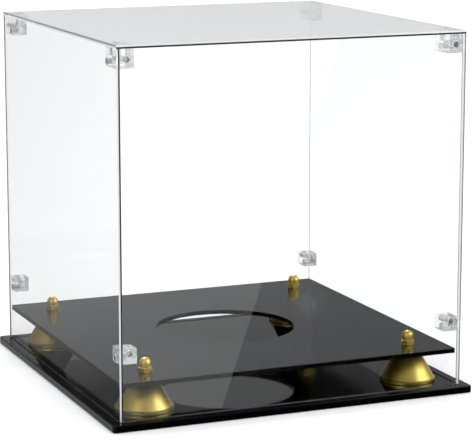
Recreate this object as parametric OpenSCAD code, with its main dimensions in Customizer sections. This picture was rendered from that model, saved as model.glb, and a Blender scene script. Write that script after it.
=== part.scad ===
// Display case for a ball: black base, raised deck with a round seat, and a
// clear cover that lifts off. Millimetres, +Z up, front towards -Y.
// The origin is the centre of the underside of the base.

/* [Cover] */
// Outside width and depth of the clear cover
cover_w = 280; // [270:1:340]
// Outside height of the cover, top panel included
cover_h = 276; // [220:1:340]
// Thickness of the clear panels
panel_t = 2.5; // [1.5:0.5:4]

/* [Base] */
// Width of the base that shows outside the cover on each side
base_margin = 7.5; // [2:0.5:30]
// Thickness of the base plate
base_t = 5.5; // [4.5:0.5:10]
// Radius of the base plate's four upright corners
base_corner_r = 3; // [2:0.5:12]
// Radius that rounds the base plate's upper and lower edges
base_edge_r = 0.8; // [0.4:0.1:1.5]

/* [Deck] */
// Thickness of the deck plate
deck_t = 3.5; // [3:0.5:8]
// Gap between the deck's edge and the inside of the cover
deck_gap = 0.4; // [0.3:0.1:3]
// Radius of the deck plate's four upright corners
deck_corner_r = 1.5; // [1:0.5:10]
// Diameter of the round seat hole that cradles the ball
seat_d = 112; // [80:1:150]

/* [Risers] */
// Height of the risers that carry the deck
riser_h = 25; // [15:1:38]
// Diameter of a riser's foot
riser_foot_d = 43; // [30:0.5:50]
// Diameter of a riser's top
riser_top_d = 17; // [13:0.5:25]
// Distance from the middle of the case to a riser, along X and along Y
riser_offset = 109.5; // [95:0.5:112]

/* [Fasteners] */
// Diameter of the screws
screw_d = 6; // [4:0.5:6]
// Diameter of the countersunk screw heads
screw_head_d = 12; // [10:0.5:14]
// Size of the cap nuts across their flats
nut_flats = 10; // [8:0.5:13]
// Height of the cap nuts
nut_h = 11; // [9:0.5:14]
// Diameter of the clear push pins
pin_d = 4.2; // [3:0.1:4.4]
// Diameter of the push pins' flush heads
pin_head_d = 6; // [5:0.1:7]

/* [Corner blocks] */
// Width of every corner block along the front or back wall
block_w = 11.5; // [10:0.5:16]
// Length of an upper block along the side wall
top_block_l = 23; // [21:0.5:30]
// Height of an upper block
top_block_h = 14.5; // [13.5:0.5:20]
// Length of a lower block along the side wall
low_block_l = 15; // [14.5:0.5:25]
// Height of a lower block
low_block_h = 11.3; // [10.5:0.1:16]
// Height of the lower blocks above the base plate
low_block_z = 43; // [40:1:120]

/* [Hidden] */
$fn = 96;
seat_fn = 180;
// Gap left between pieces that are fastened to each other
seam = 0.05;
// Extra length that carries a cutter past the surface it cuts
cut = 1;

base_w = cover_w + 2 * base_margin;
inner_w = cover_w - 2 * panel_t;
half_in = inner_w / 2;
wall_h = cover_h - panel_t;
deck_w = inner_w - 2 * deck_gap;
deck_z = base_t + riser_h;
deck_top = deck_z + deck_t;
ceiling_z = base_t + wall_h;
top_block_z = ceiling_z - top_block_h;
low_block_base = base_t + low_block_z;

// Risers: the lip at the foot, its bevel and the relief under it
lip_h = 2.4;
lip_bevel = 0.8;
foot_relief = 0.4;
bore_play = 0.4;
bore_d = screw_d + bore_play;

// Screws: the head sits a little above the base's underside, and the tip stops nut_roof
// below the top of the cap nut
head_recess = 0.25;
head_h = (screw_head_d - screw_d) / 2;
hex_key_d = 4;
hex_key_depth = 1.8;
nut_roof = 4;
screw_tip = deck_top + nut_h - nut_roof;

// Cap nuts: the hexagon, the shoulder above it, the dome and the blind hole
nut_hex_h = 3.6;
nut_bevel = 0.5;
nut_shoulder = 0.3;
nut_dome_d = nut_flats - 2 * nut_shoulder;
thread_runout = 0.5;
nut_thread_depth = screw_tip - deck_top + thread_runout;

// Push pins: places are measured from the corner of the block they hold
pin_head_h = 1.1;
wall_pin_x = 5.5;
wall_pin_l = 13.5;
low_wall_pin_l = 13.5;
side_pin_l = 9;
top_pin_l = 6.5;
top_wall_pin_z = 8;
top_side_pin_z = 10.9;
top_pin_y = 18.5;
low_wall_pin_z = 7.7;
low_side_pin_z = 3.1;
low_side_pin_y = 8;
pin_hole_extra = 0.3;
block_bevel = 1.2;

// The four corners as [name, side of X, side of Y]
CORNERS = [["front_left", -1, -1], ["front_right", 1, -1], ["back_left", -1, 1], ["back_right", 1, 1]];
GROUPS = ["riser", "screw", "nut", "bracket_top", "bracket_low", "pins_top", "pins_low"];

// ---- shared shapes ----

// Puts its children on the riser axis of one corner.
module at_riser(sx, sy) {
    translate([sx * riser_offset, sy * riser_offset, 0])
        children();
}

// Puts its children, drawn for a corner with the walls along x = 0 and y = 0 and
// the block in positive x and y, into one corner of the cover.
module in_corner(sx, sy, z) {
    translate([sx * half_in, sy * half_in, z])
        mirror([sx > 0 ? 1 : 0, 0, 0])
            mirror([0, sy > 0 ? 1 : 0, 0])
                children();
}

// A square plate with round upright corners, centred on the origin.
module rounded_plate(w, t, r) {
    translate([-w / 2 + r, -w / 2, 0])
        cube([w - 2 * r, w, t]);
    translate([-w / 2, -w / 2 + r, 0])
        cube([w, w - 2 * r, t]);
    for (x = [-1, 1], y = [-1, 1])
        translate([x * (w / 2 - r), y * (w / 2 - r), 0])
            cylinder(h = t, r = r);
}

// ---- base, deck and what joins them ----

// Half of the base plate's section, from its middle out to one rounded edge.
module base_section(reach) {
    square([reach - base_edge_r, base_t]);
    translate([0, base_edge_r])
        square([reach, base_t - 2 * base_edge_r]);
    for (z = [base_edge_r, base_t - base_edge_r])
        translate([reach - base_edge_r, z])
            circle(r = base_edge_r);
}

// One bar of the base plate: the section on both sides, run along X.
module base_bar() {
    length = base_w - 2 * base_corner_r;
    for (side = [0, 1])
        mirror([0, side, 0])
            translate([-length / 2, 0, 0])
                rotate([90, 0, 90])
                    linear_extrude(height = length)
                        base_section(base_w / 2);
}

module base_blank() {
    base_bar();
    rotate([0, 0, 90])
        base_bar();
    for (x = [-1, 1], y = [-1, 1])
        translate([x * (base_w / 2 - base_corner_r), y * (base_w / 2 - base_corner_r), 0])
            rotate_extrude()
                base_section(base_corner_r);
}

// Countersunk hole for one screw, from below.
module countersink() {
    translate([0, 0, -cut])
        cylinder(h = base_t + 2 * cut, d = bore_d);
    translate([0, 0, head_recess])
        cylinder(h = head_h, d1 = screw_head_d + 2 * seam, d2 = screw_d + 2 * seam);
    translate([0, 0, -cut])
        cylinder(h = head_recess + cut, d = screw_head_d + 2 * seam);
}

module base_plate() {
    color([0.03, 0.03, 0.035])
        difference() {
            base_blank();
            for (corner = CORNERS)
                at_riser(corner[1], corner[2])
                    countersink();
        }
}

module deck_plate() {
    color([0.05, 0.05, 0.055])
        translate([0, 0, deck_z + seam])
            difference() {
                rounded_plate(deck_w, deck_t - seam, deck_corner_r);
                translate([0, 0, -cut])
                    cylinder(h = deck_t + 2 * cut, d = seat_d, $fn = seat_fn);
                for (corner = CORNERS)
                    at_riser(corner[1], corner[2])
                        translate([0, 0, -cut])
                            cylinder(h = deck_t + 2 * cut, d = bore_d);
            }
}

// A turned cone with a lip at its foot and a bore for the screw.
module riser(sx, sy) {
    foot_r = riser_foot_d / 2;
    top_r = riser_top_d / 2;
    bore_r = bore_d / 2;
    color([0.83, 0.66, 0.25])
        at_riser(sx, sy)
            translate([0, 0, base_t + seam])
                rotate_extrude()
                    polygon([
                        [bore_r, 0],
                        [foot_r - foot_relief, 0],
                        [foot_r, foot_relief],
                        [foot_r, lip_h],
                        [foot_r - lip_bevel, lip_h + lip_bevel],
                        [top_r, riser_h - seam],
                        [bore_r, riser_h - seam]
                    ]);
}

// A countersunk screw with a hexagonal key socket, standing on its head.
module screw(sx, sy) {
    shank_r = screw_d / 2;
    color([0.72, 0.72, 0.74])
        at_riser(sx, sy)
            difference() {
                rotate_extrude()
                    polygon([
                        [0, head_recess],
                        [screw_head_d / 2, head_recess],
                        [shank_r, head_recess + head_h],
                        [shank_r, screw_tip - nut_bevel],
                        [shank_r - nut_bevel, screw_tip],
                        [0, screw_tip]
                    ]);
                translate([0, 0, head_recess - cut])
                    cylinder(h = hex_key_depth + cut, d = hex_key_d / cos(30), $fn = 6);
            }
}

// A hexagonal nut with bevelled corners and a closed dome over the screw's end.
module nut(sx, sy) {
    hex_r = nut_flats / 2 / cos(30);
    dome_r = nut_dome_d / 2;
    dome_top = nut_h - dome_r;
    color([0.86, 0.68, 0.26])
        at_riser(sx, sy)
            translate([0, 0, deck_top + seam])
                difference() {
                    union() {
                        intersection() {
                            cylinder(h = nut_hex_h, r = hex_r, $fn = 6);
                            rotate_extrude()
                                polygon([
                                    [0, 0],
                                    [hex_r - nut_bevel, 0],
                                    [hex_r, nut_bevel],
                                    [hex_r, nut_hex_h - nut_bevel],
                                    [hex_r - 2 * nut_bevel, nut_hex_h],
                                    [0, nut_hex_h]
                                ]);
                        }
                        cylinder(h = dome_top, r = dome_r);
                        translate([0, 0, dome_top])
                            sphere(r = dome_r);
                    }
                    translate([0, 0, -cut])
                        cylinder(h = nut_thread_depth + cut, d = screw_d + 2 * seam);
                }
}

// ---- cover ----

// The hole for one push pin, along +Z from the outer face of a panel at z = 0.
module pin_hole(depth) {
    translate([0, 0, -cut])
        cylinder(h = pin_head_h + seam + cut, d = pin_head_d + 2 * seam);
    cylinder(h = panel_t + depth + pin_hole_extra, d = pin_d + 2 * seam);
}

// One push pin, along +Z, with its flush head at z = 0.
module pin(depth) {
    cylinder(h = pin_head_h, d = pin_head_d);
    cylinder(h = panel_t + depth, d = pin_d);
}

// Turns something drawn along +Z so that it runs along +Y or +X from the outer face
// of the front or side wall, at place [x, y, z] in the corner's own frame.
module through_wall(x, z) {
    translate([x, -panel_t, z])
        rotate([-90, 0, 0])
            children();
}

module through_side(y, z) {
    translate([-panel_t, y, z])
        rotate([0, 90, 0])
            children();
}

module through_top(x, y) {
    translate([x, y, top_block_h + panel_t])
        rotate([180, 0, 0])
            children();
}

// Upper pins in the frame of a corner whose floor is the underside of the block.
module top_corner_pins(holes) {
    through_wall(wall_pin_x, top_block_h - top_wall_pin_z)
        pin_or_hole(holes, wall_pin_l);
    through_side(top_pin_y, top_block_h - top_side_pin_z)
        pin_or_hole(holes, side_pin_l);
    through_top(wall_pin_x, top_pin_y)
        pin_or_hole(holes, top_pin_l);
}

// Lower pins, in the same kind of frame.
module low_corner_pins(holes) {
    through_wall(wall_pin_x, low_wall_pin_z)
        pin_or_hole(holes, low_wall_pin_l);
    through_side(low_side_pin_y, low_side_pin_z)
        pin_or_hole(holes, side_pin_l);
}

module pin_or_hole(holes, depth) {
    if (holes)
        pin_hole(depth);
    else
        pin(depth);
}

// Every pin hole of the cover, to cut from panels and blocks.
module all_pin_holes() {
    for (corner = CORNERS) {
        in_corner(corner[1], corner[2], top_block_z)
            top_corner_pins(true);
        in_corner(corner[1], corner[2], low_block_base)
            low_corner_pins(true);
    }
}

module clear_panel(size, place) {
    color([0.85, 0.9, 0.92, 0.3])
        difference() {
            translate(place)
                cube(size);
            all_pin_holes();
        }
}

module top_panel() {
    clear_panel([cover_w, cover_w, panel_t], [-cover_w / 2, -cover_w / 2, ceiling_z]);
}

// Left and right walls, which run the full depth of the cover.
module side_panel(sx) {
    x = sx < 0 ? -cover_w / 2 : half_in;
    clear_panel([panel_t, cover_w, wall_h - seam], [x, -cover_w / 2, base_t]);
}

// Front and back walls, which stand between the side walls.
module end_panel(sy) {
    y = sy < 0 ? -cover_w / 2 : half_in;
    clear_panel([inner_w - 2 * seam, panel_t, wall_h - seam], [-half_in + seam, y, base_t]);
}

// A corner block with a bevel on the upright edge that faces away from both walls.
module corner_block(l, h) {
    translate([seam, seam, 0])
        linear_extrude(height = h - seam)
            polygon([
                [0, 0],
                [block_w, 0],
                [block_w, l - block_bevel],
                [block_w - block_bevel, l],
                [0, l]
            ]);
}

module bracket_top(sx, sy) {
    color([0.8, 0.82, 0.84, 0.6])
        in_corner(sx, sy, top_block_z)
            difference() {
                corner_block(top_block_l, top_block_h);
                top_corner_pins(true);
            }
}

module bracket_low(sx, sy) {
    color([0.8, 0.82, 0.84, 0.6])
        in_corner(sx, sy, low_block_base)
            difference() {
                corner_block(low_block_l, low_block_h);
                low_corner_pins(true);
            }
}

module pins_top(sx, sy) {
    color([0.6, 0.62, 0.64])
        in_corner(sx, sy, top_block_z)
            top_corner_pins(false);
}

module pins_low(sx, sy) {
    color([0.6, 0.62, 0.64])
        in_corner(sx, sy, low_block_base)
            low_corner_pins(false);
}

// ---- nodes ----

base_plate();
deck_plate();
top_panel();
side_panel(-1);  // left_panel
side_panel(1);  // right_panel
end_panel(-1);  // front_panel
end_panel(1);  // back_panel
for (corner = CORNERS) {
    sx = corner[1];
    sy = corner[2];
    riser(sx, sy);
    screw(sx, sy);
    nut(sx, sy);
    bracket_top(sx, sy);
    bracket_low(sx, sy);
    pins_top(sx, sy);
    pins_low(sx, sy);
}
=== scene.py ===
"""Looks for a ball display case.

A black base and raised deck, gold risers and cap nuts, and a clear cover that lifts off.
"""
import math

import bpy
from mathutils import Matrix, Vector


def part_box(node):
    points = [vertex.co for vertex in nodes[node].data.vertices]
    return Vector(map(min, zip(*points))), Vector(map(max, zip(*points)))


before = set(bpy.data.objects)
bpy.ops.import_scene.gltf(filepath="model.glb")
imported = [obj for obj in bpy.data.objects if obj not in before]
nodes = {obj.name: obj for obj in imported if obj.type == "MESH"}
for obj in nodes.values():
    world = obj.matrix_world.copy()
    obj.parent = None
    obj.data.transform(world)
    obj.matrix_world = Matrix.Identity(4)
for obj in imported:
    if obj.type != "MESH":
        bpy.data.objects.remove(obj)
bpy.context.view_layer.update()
scene = bpy.context.scene
MM = 0.001

CORNERS = ("front_left", "front_right", "back_left", "back_right")


def of_corners(group):
    return [f"{group}_{corner}" for corner in CORNERS]


# ---------------------------------------------------------------- camera

CAMERA_AZIMUTH = math.radians(-22.58)
CAMERA_ELEVATION = math.radians(10.90)
CAMERA_DISTANCE = 1.704
CAMERA_AIM = Vector((0.0090, -0.0038, 0.1196))
CAMERA_LENS = 160.94


def make_camera():
    back = Vector((
        math.sin(CAMERA_AZIMUTH) * math.cos(CAMERA_ELEVATION),
        -math.cos(CAMERA_AZIMUTH) * math.cos(CAMERA_ELEVATION),
        math.sin(CAMERA_ELEVATION),
    ))
    data = bpy.data.cameras.new("camera")
    data.sensor_width = 36
    data.lens = CAMERA_LENS
    data.clip_start, data.clip_end = 0.01, 100
    camera = bpy.data.objects.new("camera", data)
    scene.collection.objects.link(camera)
    camera.location = CAMERA_AIM + back * CAMERA_DISTANCE
    camera.rotation_euler = (-back).to_track_quat("-Z", "Y").to_euler()
    scene.camera = camera


# ---------------------------------------------------------------- node helpers

class Tree:
    """A material's node tree, with short calls that add and join nodes."""

    def __init__(self, owner):
        owner.use_nodes = True
        self.nodes = owner.node_tree.nodes
        self.links = owner.node_tree.links
        self.nodes.clear()

    def add(self, kind, settings=None, **inputs):
        made = self.nodes.new("ShaderNode" + kind)
        for name, value in (settings or {}).items():
            setattr(made, name, value)
        for name, value in inputs.items():
            self.put(made.inputs[name.replace("_", " ")], value)
        return made

    def put(self, socket, value):
        if isinstance(value, bpy.types.NodeSocket):
            self.links.new(value, socket)
        else:
            socket.default_value = value

    def axes(self, kind):
        """The X, Y and Z of a texture coordinate: "Object" is the place in metres, "Normal" the facing."""
        parts = self.add("SeparateXYZ")
        self.put(parts.inputs[0], self.add("TexCoord").outputs[kind])
        return parts.outputs

    def coordinates(self, scale=(1, 1, 1)):
        """Object coordinates in metres, stretched by scale."""
        place = self.add("TexCoord").outputs["Object"]
        mapping = self.add("Mapping")
        self.put(mapping.inputs["Vector"], place)
        mapping.inputs["Scale"].default_value = scale
        return mapping.outputs["Vector"]

    def noise(self, vector, scale, detail=4.0, roughness=0.5):
        made = self.add("TexNoise", Scale=scale, Detail=detail, Roughness=roughness)
        self.put(made.inputs["Vector"], vector)
        return made.outputs["Fac"]

    def span(self, value, low, high, start=0.0, end=1.0):
        """value, taken from start..end to low..high."""
        made = self.add("MapRange")
        made.inputs["From Min"].default_value = start
        made.inputs["From Max"].default_value = end
        made.inputs["To Min"].default_value = low
        made.inputs["To Max"].default_value = high
        self.put(made.inputs["Value"], value)
        return made.outputs["Result"]

    def math(self, operation, first, second):
        made = self.add("Math", {"operation": operation})
        self.put(made.inputs[0], first)
        self.put(made.inputs[1], second)
        return made.outputs[0]

    def size_of(self, value):
        return self.math("ABSOLUTE", value, 0)

    def product(self, first, *others):
        for other in others:
            first = self.math("MULTIPLY", first, other)
        return first

    def greatest(self, first, *others):
        for other in others:
            first = self.math("MAXIMUM", first, other)
        return first

    def blend(self, factor, first, second):
        """A colour that goes from first to second as factor goes from 0 to 1."""
        made = self.add("Mix", {"data_type": "RGBA"})
        self.put(made.inputs["Factor"], factor)
        self.put(made.inputs[6], first)
        self.put(made.inputs[7], second)
        return made.outputs[2]

    def pick(self, factor, first, second):
        """A number that goes from first to second as factor goes from 0 to 1."""
        made = self.add("Mix", {"data_type": "FLOAT"})
        self.put(made.inputs["Factor"], factor)
        self.put(made.inputs[2], first)
        self.put(made.inputs[3], second)
        return made.outputs[0]

    def bump(self, height, distance, strength=1.0):
        made = self.add("Bump")
        made.inputs["Strength"].default_value = strength
        made.inputs["Distance"].default_value = distance
        self.put(made.inputs["Height"], height)
        return made.outputs["Normal"]

    def finish(self, shader):
        output = self.add("OutputMaterial")
        self.links.new(shader, output.inputs["Surface"])


def new_material(name):
    made = bpy.data.materials.new(name)
    return made, Tree(made)


def let_lamps_through(tree, shader, tint):
    """Shadow and diffuse rays pass straight through, as light does through thin clear sheet."""
    path = tree.add("LightPath")
    open_way = tree.greatest(path.outputs["Is Shadow Ray"], path.outputs["Is Diffuse Ray"])
    clear = tree.add("BsdfTransparent", Color=tint)
    mix = tree.add("MixShader")
    tree.put(mix.inputs[0], open_way)
    tree.put(mix.inputs[1], shader)
    tree.put(mix.inputs[2], clear.outputs[0])
    return mix.outputs[0]


# ---------------------------------------------------------------- materials

ACRYLIC_IOR = 1.49
SIDE_IOR = 1.32  # the side walls mirror less than plain acrylic would
ON_EDGE = 0.7  # a face is a cut edge if its normal's share along the sheet's thickness is below this
SHEET_COLOUR = (0.985, 0.992, 0.992, 1)
SHEET_SHADOW = (0.97, 0.975, 0.975, 1)
EDGE_COLOUR = (0.90, 0.91, 0.91, 1)
EDGE_CLARITY = 0.35
EDGE_ROUGHNESS = 0.35
# painted shade: the dark and grey tones of the shade stripe along the clear sheets' cut edges
PAINTED_SHADE_DARK, PAINTED_SHADE_GREY = 0.015, 0.28
# painted highlight: the grey line where each wall stands on the base
PAINTED_FOOT_HIGHLIGHT = (0.16, 0.16, 0.165, 1)
FOOT_HEIGHT = 0.35 * MM

BLOCK_IOR = 1.12
BLOCK_CLARITY = 0.78
BLOCK_CLOUD = 0.12
BLOCK_COLOURS = (0.95, 0.955, 0.955, 1), (0.98, 0.985, 0.985, 1)
BLOCK_SHADOW = (0.96, 0.96, 0.96, 1)

PIN_THREAD = 5 * MM
PIN_HEAD_CLARITY = 0.9
PIN_HEAD_COLOUR = (0.93, 0.935, 0.935, 1)
# painted shade: black where the clear pin passes the block's thread
PIN_THREAD_PAINTED_SHADE = (0.004, 0.004, 0.004, 1)
PIN_SHANK_COLOURS = (0.42, 0.42, 0.42, 1), (0.68, 0.68, 0.68, 1)
PIN_SHADOW = (0.7, 0.7, 0.7, 1)

BLACK = (0.0015, 0.0015, 0.002, 1)
DUST = (0.04, 0.04, 0.042, 1)
DUST_ROUGHNESS = 0.2
LACQUER_ROUGHNESS = 0.22
STEEL_COLOURS = (0.52, 0.53, 0.56, 1), (0.68, 0.69, 0.7, 1)
SATIN_GOLD = (0.84, 0.62, 0.12, 1), (0.92, 0.70, 0.16, 1)
BRIGHT_GOLD = (0.88, 0.65, 0.12, 1), (0.96, 0.75, 0.17, 1)


def cut_edge_mask(tree, thickness_axis):
    """1 on the narrow cut edges and pin holes of a sheet, 0 on its two broad faces."""
    return tree.math("LESS_THAN", tree.size_of(tree.axes("Normal")[thickness_axis]), ON_EDGE)


def edge_colour_with_painted_shade(tree, thickness_axis, panel):
    """A pale stripe in the cut edge's own colour beside a stripe of painted shade, running along each cut
    edge. The painted shade is darkest at the cover's left and greyer to its right. On the top sheet it is
    dark on the front and back edges and grey on the side edges.
    """
    lowest, highest = (corner["XYZ".index(thickness_axis)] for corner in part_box(panel))
    cover_left, cover_right = (corner.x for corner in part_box("top_panel"))
    place = tree.axes("Object")
    above_lowest = tree.math("SUBTRACT", place[thickness_axis], lowest)
    across = tree.math("FRACT", tree.math("DIVIDE", above_lowest, highest - lowest), 0)
    # painted shade: across each cut edge's thickness one side stays pale and the other goes dark, darker
    # at the cover's left and greyer to its right
    shade_stripe = tree.span(across, 0.0, 1.0, 0.45, 0.6)
    shade = tree.span(place["X"], PAINTED_SHADE_DARK, PAINTED_SHADE_GREY, cover_left, cover_right)
    # painted shade: on the top sheet the front and back edges are dark and the side edges grey
    if thickness_axis == "Z":
        faces_y = tree.math("GREATER_THAN", tree.size_of(tree.axes("Normal")["Y"]), ON_EDGE)
        shade_stripe = tree.pick(faces_y, shade_stripe, tree.math("SUBTRACT", 1.0, shade_stripe))
        shade = tree.pick(faces_y, PAINTED_SHADE_GREY, PAINTED_SHADE_DARK)
    dark = tree.add("CombineColor", Red=shade, Green=shade, Blue=shade)
    return tree.blend(shade_stripe, EDGE_COLOUR, dark.outputs[0])


def painted_foot_highlight_mask(tree):
    """1 on the lowest sliver of a wall, where it stands on the base; this sliver takes a grey painted
    highlight line.
    """
    wall_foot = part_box("left_panel")[0].z
    return tree.math("LESS_THAN", tree.axes("Object")["Z"], wall_foot + FOOT_HEIGHT)


def clear_acrylic(thickness_axis, panel, ior):
    """Clear sheet: polished faces with the faintest wipe marks, satin cut edges with saw marks, painted
    shade along the cut edges and a painted highlight line at the wall's foot.
    """
    material, tree = new_material("clear_acrylic_" + thickness_axis)
    # painted highlight: the wall's lowest sliver is tinted grey and made less clear, like a cut edge
    foot = painted_foot_highlight_mask(tree)
    edge = tree.greatest(cut_edge_mask(tree, thickness_axis), foot)
    edge_and_foot_highlight_colour = tree.blend(foot, edge_colour_with_painted_shade(tree, thickness_axis, panel), PAINTED_FOOT_HIGHLIGHT)
    wipe = tree.noise(tree.coordinates((1, 1, 0.25)), 60, 5, 0.6)
    saw = tree.noise(tree.coordinates(), 900, 3, 0.6)
    polished = tree.span(wipe, 0.0, 0.012, 0.45, 0.75)
    satin = tree.span(saw, EDGE_ROUGHNESS * 0.85, EDGE_ROUGHNESS * 1.15, 0.3, 0.7)
    shader = tree.add("BsdfPrincipled", IOR=ior)
    tree.put(shader.inputs["Roughness"], tree.pick(edge, polished, satin))
    tree.put(shader.inputs["Base Color"], tree.blend(edge, SHEET_COLOUR, edge_and_foot_highlight_colour))
    tree.put(shader.inputs["Transmission Weight"], tree.pick(edge, 1.0, EDGE_CLARITY))
    tree.finish(let_lamps_through(tree, shader.outputs[0], SHEET_SHADOW))
    return material


def clear_block():
    """Injection-moulded clear plastic, a little milky, with flow marks."""
    material, tree = new_material("clear_block")
    place = tree.coordinates()
    flow = tree.noise(place, 240, 4, 0.6)
    shader = tree.add("BsdfPrincipled", IOR=BLOCK_IOR)
    tree.put(shader.inputs["Roughness"], tree.span(flow, 0.03, 0.07, 0.3, 0.7))
    tree.put(shader.inputs["Base Color"], tree.blend(flow, *BLOCK_COLOURS))
    clarity = tree.span(flow, BLOCK_CLARITY - BLOCK_CLOUD, BLOCK_CLARITY + BLOCK_CLOUD, 0.3, 0.7)
    tree.put(shader.inputs["Transmission Weight"], clarity)
    tree.put(shader.inputs["Normal"], tree.bump(tree.noise(place, 420, 3), 0.02 * MM))
    tree.finish(let_lamps_through(tree, shader.outputs[0], BLOCK_SHADOW))
    return material


def plastic_pin():
    """Clear head in the wall, painted black shade where it passes the block's thread for the dark look of
    the clear thread, grey shank beyond.
    """
    material, tree = new_material("plastic_pin")
    place = tree.axes("Object")
    outward = tree.greatest(tree.size_of(place["X"]), tree.size_of(place["Y"]))
    wall_inside = -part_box("front_panel")[1].y
    head = tree.math("GREATER_THAN", outward, wall_inside)
    thread = tree.math("GREATER_THAN", outward, wall_inside - PIN_THREAD)
    grain = tree.noise(tree.coordinates(), 900, 3, 0.6)
    inside = tree.blend(thread, tree.blend(grain, *PIN_SHANK_COLOURS), PIN_THREAD_PAINTED_SHADE)
    shader = tree.add("BsdfPrincipled", IOR=ACRYLIC_IOR)
    tree.put(shader.inputs["Base Color"], tree.blend(head, inside, PIN_HEAD_COLOUR))
    tree.put(shader.inputs["Roughness"], tree.span(grain, 0.10, 0.22, 0.3, 0.7))
    tree.put(shader.inputs["Transmission Weight"], tree.pick(head, 0.0, PIN_HEAD_CLARITY))
    tree.finish(let_lamps_through(tree, shader.outputs[0], PIN_SHADOW))
    return material


def black_acrylic(name, smooth, worn):
    """Polished black sheet with faint wipe marks and a few specks of dust."""
    material, tree = new_material(name)
    wipe = tree.noise(tree.coordinates((0.4, 1, 1)), 35, 6, 0.62)
    specks = tree.span(tree.noise(tree.coordinates(), 900, 2, 0.4), 0.0, 1.0, 0.74, 0.78)
    polish = tree.span(wipe, smooth, worn, 0.35, 0.75)
    shader = tree.add(
        "BsdfPrincipled",
        Base_Color=tree.blend(specks, BLACK, DUST),
        Roughness=tree.math("ADD", polish, tree.product(specks, DUST_ROUGHNESS)),
        IOR=ACRYLIC_IOR,
    )
    tree.finish(shader.outputs[0])
    return material


def gold(name, colours, roughness, anisotropy, ring_spacing, lacquer):
    """Lacquered gold-coloured metal, satin, with fine level rings like those a lathe leaves."""
    material, tree = new_material(name)
    cloud = tree.noise(tree.coordinates(), 130, 4, 0.55)
    rings = tree.noise(tree.coordinates((0.02, 0.02, 1)), 1 / ring_spacing, 2, 0.5)
    clouded = tree.span(cloud, roughness * 0.92, roughness * 1.08, 0.3, 0.7)
    shader = tree.add(
        "BsdfPrincipled",
        Base_Color=tree.blend(tree.span(cloud, 0, 1, 0.3, 0.7), *colours),
        Metallic=1.0,
        Roughness=tree.math("ADD", clouded, tree.span(rings, -0.02, 0.02, 0.3, 0.7)),
        Anisotropic=anisotropy,
        Coat_Weight=lacquer,
        Coat_Roughness=LACQUER_ROUGHNESS,
    )
    tangent = tree.add("Tangent", {"direction_type": "RADIAL", "axis": "Z"})
    tree.put(shader.inputs["Tangent"], tangent.outputs[0])
    tree.finish(shader.outputs[0])
    return material


def plated_steel():
    """Zinc-plated steel with a fine cloudy grain."""
    material, tree = new_material("plated_steel")
    grain = tree.noise(tree.coordinates(), 700, 4, 0.6)
    shader = tree.add(
        "BsdfPrincipled",
        Base_Color=tree.blend(grain, *STEEL_COLOURS),
        Metallic=1.0,
        Roughness=tree.span(grain, 0.25, 0.42, 0.3, 0.7),
    )
    tree.finish(shader.outputs[0])
    return material


def give(names, material):
    for name in names:
        data = nodes[name].data
        data.materials.clear()
        data.materials.append(material)


def paint():
    give(["left_panel", "right_panel"], clear_acrylic("X", "left_panel", SIDE_IOR))
    give(["front_panel", "back_panel"], clear_acrylic("Y", "front_panel", ACRYLIC_IOR))
    give(["top_panel"], clear_acrylic("Z", "top_panel", ACRYLIC_IOR))
    give(["base_plate"], black_acrylic("black_base", smooth=0.02, worn=0.07))
    give(["deck_plate"], black_acrylic("black_deck", smooth=0.15, worn=0.21))
    give(of_corners("bracket_top") + of_corners("bracket_low"), clear_block())
    give(of_corners("pins_top") + of_corners("pins_low"), plastic_pin())
    give(of_corners("screw"), plated_steel())
    turned = gold(
        "gold_satin", SATIN_GOLD, roughness=0.38, anisotropy=0.45, ring_spacing=0.5 * MM, lacquer=1.0
    )
    give(of_corners("riser"), turned)
    tumbled = gold(
        "gold_bright", BRIGHT_GOLD, roughness=0.44, anisotropy=0.0, ring_spacing=0.3 * MM, lacquer=0.8
    )
    give(of_corners("nut"), tumbled)


# ---------------------------------------------------------------- studio

FLOOR_SIZE = 60
FLOOR_DROP = 0.2 * MM
FLOOR_COLOURS = (0.93, 0.93, 0.93, 1), (0.95, 0.95, 0.95, 1)
WALL_LEFT, WALL_RIGHT = 0.42, 0.27
WALL_FOOT = 0.70
LOW_LEFT_TOP, LOW_LEFT_FOOT = 0.30, 0.12
LOW_RIGHT = 0.55
CEILING = 0.22
AMBIENT = 1.0
BLUE_CAST = 1.02
KEY = 1.1
FRONT_CARD, LEFT_CARD = 0.55, 0.25
RIGHT_BOX = 2.6
LEFT_BOX = 1.6


def make_floor():
    """A pale floor that mirror images do not show, so that the black plates stay black."""
    material, tree = new_material("pale_floor")
    paper = tree.noise(tree.coordinates(), 300, 3)
    pale = tree.add("BsdfDiffuse", Color=tree.blend(paper, *FLOOR_COLOURS))
    reflections = tree.add("LightPath").outputs["Glossy Depth"]
    mix = tree.add("MixShader")
    tree.put(mix.inputs[0], tree.math("GREATER_THAN", reflections, 0.5))
    tree.put(mix.inputs[1], pale.outputs[0])
    tree.put(mix.inputs[2], tree.add("BsdfTransparent").outputs[0])
    tree.finish(mix.outputs[0])
    half = FLOOR_SIZE / 2
    corners = [(x * half, y * half, 0) for x, y in ((-1, -1), (1, -1), (1, 1), (-1, 1))]
    data = bpy.data.meshes.new("floor")
    data.from_pydata(corners, [], [(0, 1, 2, 3)])
    data.materials.append(material)
    floor = bpy.data.objects.new("floor", data)
    floor.location.z = -FLOOR_DROP
    scene.collection.objects.link(floor)


def area_light(name, place, size, radiance):
    data = bpy.data.lights.new(name, "AREA")
    data.shape = "RECTANGLE"
    data.size, data.size_y = size
    data.energy = radiance * math.pi * size[0] * size[1]
    lamp = bpy.data.objects.new(name, data)
    lamp.location = place
    scene.collection.objects.link(lamp)
    return lamp


def aim(lamp):
    """Turns a lamp towards the middle of the case."""
    lamp.rotation_euler = (CAMERA_AIM - lamp.location).to_track_quat("-Z", "Y").to_euler()


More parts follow.
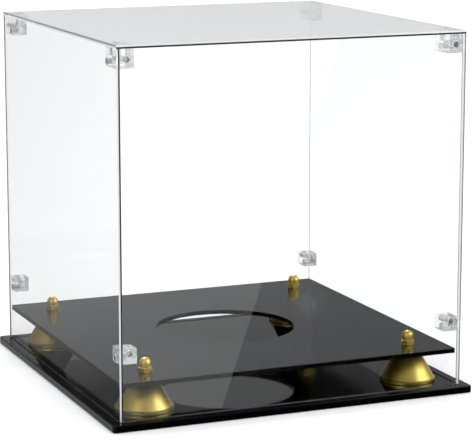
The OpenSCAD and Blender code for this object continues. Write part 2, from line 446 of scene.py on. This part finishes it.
def pale_wall(tree, x, y, z):
    """A wall behind the case and to the right, brightest low down and towards its left."""
    behind = tree.span(y, 0.0, 1.0, 0.3, 0.7)
    above = tree.span(z, 0.0, 1.0, -0.01, 0.03)
    middle = tree.span(x, 0.0, 1.0, -0.1, 0.15)
    across = tree.span(x, WALL_LEFT, WALL_RIGHT, 0.25, 0.50)
    foot = tree.span(z, WALL_FOOT, 0.0, 0.11, 0.23)
    return tree.product(behind, above, middle, tree.greatest(across, foot))


def low_left_glow(tree, x, z):
    """What the left wall mirrors: pale just under the horizon, dim further down."""
    below = tree.span(z, 1.0, 0.0, -0.01, 0.03)
    leftward = tree.span(x, 1.0, 0.0, -0.25, -0.05)
    falloff = tree.span(z, LOW_LEFT_FOOT, LOW_LEFT_TOP, -0.262, -0.215)
    return tree.product(leftward, below, falloff)


def low_right_glow(tree, x, y, z):
    """The pale floor behind on the right, as seen inside the clear blocks and cut edges."""
    below = tree.span(z, 1.0, 0.0, -0.01, 0.03)
    behind = tree.span(y, 0.0, 1.0, 0.3, 0.7)
    return tree.product(tree.span(x, 0.0, LOW_RIGHT, 0.1, 0.25), below, behind)


def make_world():
    """What mirror images show; plain surfaces get an even light from all round instead."""
    world = bpy.data.worlds.new("studio")
    scene.world = world
    tree = Tree(world)
    direction = tree.axes("Generated")
    x, y, z = direction["X"], direction["Y"], direction["Z"]
    overhead = tree.span(z, 0.0, CEILING, -0.05, 0.6)
    mirrored = tree.greatest(
        pale_wall(tree, x, y, z), low_left_glow(tree, x, z), low_right_glow(tree, x, y, z), overhead
    )
    level = tree.pick(tree.add("LightPath").outputs["Is Diffuse Ray"], mirrored, AMBIENT)
    blue = tree.product(level, BLUE_CAST)
    shade = tree.add("CombineColor", Red=level, Green=level, Blue=blue)
    background = tree.add("Background")
    tree.put(background.inputs["Color"], shade.outputs[0])
    output = tree.add("OutputWorld")
    tree.links.new(background.outputs[0], output.inputs["Surface"])


def only_on(lamp, names):
    """Limits a lamp, and its mirror image, to the named nodes."""
    lit = bpy.data.collections.new("lit_by_" + lamp.name)
    for name in names:
        lit.objects.link(nodes[name])
    lamp.light_linking.receiver_collection = lit


def make_cards():
    """Pale cards: one seen in the left part of the front wall, one in the plates' left sides."""
    front = area_light(
        "front_card", place=(0.211, -1.3, -0.018), size=(0.6, 0.7), radiance=FRONT_CARD
    )
    front.rotation_euler = (math.radians(90), math.radians(19.24), 0)
    only_on(front, ["front_panel"])
    left = area_light("left_card", place=(-0.70, 1.25, -0.30), size=(0.8, 0.5), radiance=LEFT_CARD)
    aim(left)
    only_on(left, ["base_plate", "deck_plate"])


def make_lights():
    sun = bpy.data.lights.new("key", "SUN")
    sun.energy = KEY
    sun.angle = math.radians(25)
    key = bpy.data.objects.new("key", sun)
    key.location = (0.4, 1.5, 1.8)
    key.visible_glossy = False
    scene.collection.objects.link(key)
    aim(key)
    aim(area_light("right_box", place=(2.0, -1.4, 1.4), size=(1.8, 1.8), radiance=RIGHT_BOX))
    aim(area_light("left_box", place=(-1.8, -1.4, 0.9), size=(0.8, 1.2), radiance=LEFT_BOX))


make_camera()
paint()
make_floor()
make_world()
make_lights()
make_cards()
scene.view_settings.view_transform = "Standard"
scene.view_settings.look = "None"
